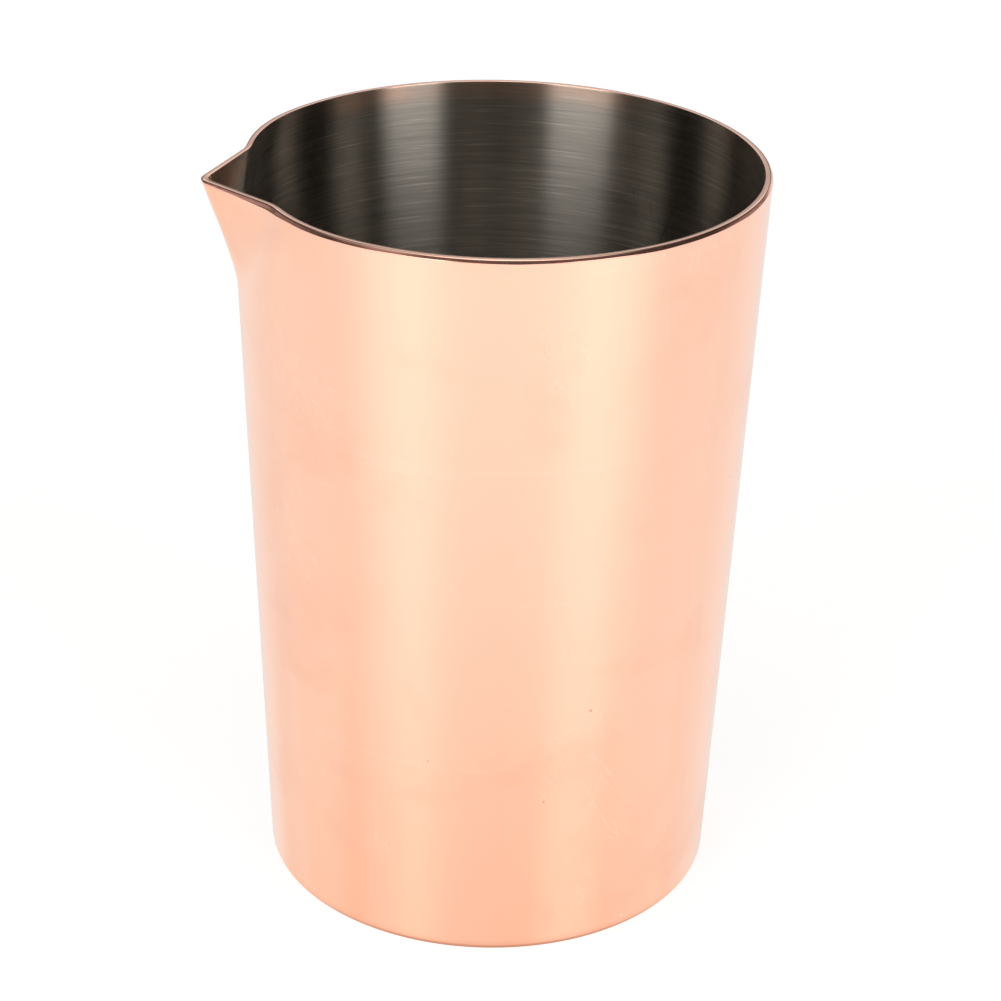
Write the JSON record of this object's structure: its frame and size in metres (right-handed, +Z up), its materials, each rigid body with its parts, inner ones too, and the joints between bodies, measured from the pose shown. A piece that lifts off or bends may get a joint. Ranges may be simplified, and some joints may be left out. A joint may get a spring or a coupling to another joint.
{
  "type": "milk frothing jug",
  "caption": "Handle-less double-walled metal frothing jug: tapered round cup, polished copper-coloured outside, brushed inside, with a pinched pouring spout.",
  "frame": {"origin": "centre of the jug's round base, on its axis, in the plane it stands on", "axes": "+Z up along the jug's axis, from the base to the rim; the spout points to -X; +Y completes the right-handed frame and the jug is mirror-symmetric about the XZ plane"},
  "size_m": [0.0952, 0.09, 0.1305],
  "materials": {
    "copper_plate": "mirror-polished copper plating on stainless steel, with light hand-polishing haze",
    "brushed_steel": "brushed round the axis, as drawn and turned"
  },
  "bodies": {
    "root": {"outer_shell": "copper_plate", "inner_cup": "brushed_steel", "base_pan": "copper_plate"}
  },
  "joints": []
}
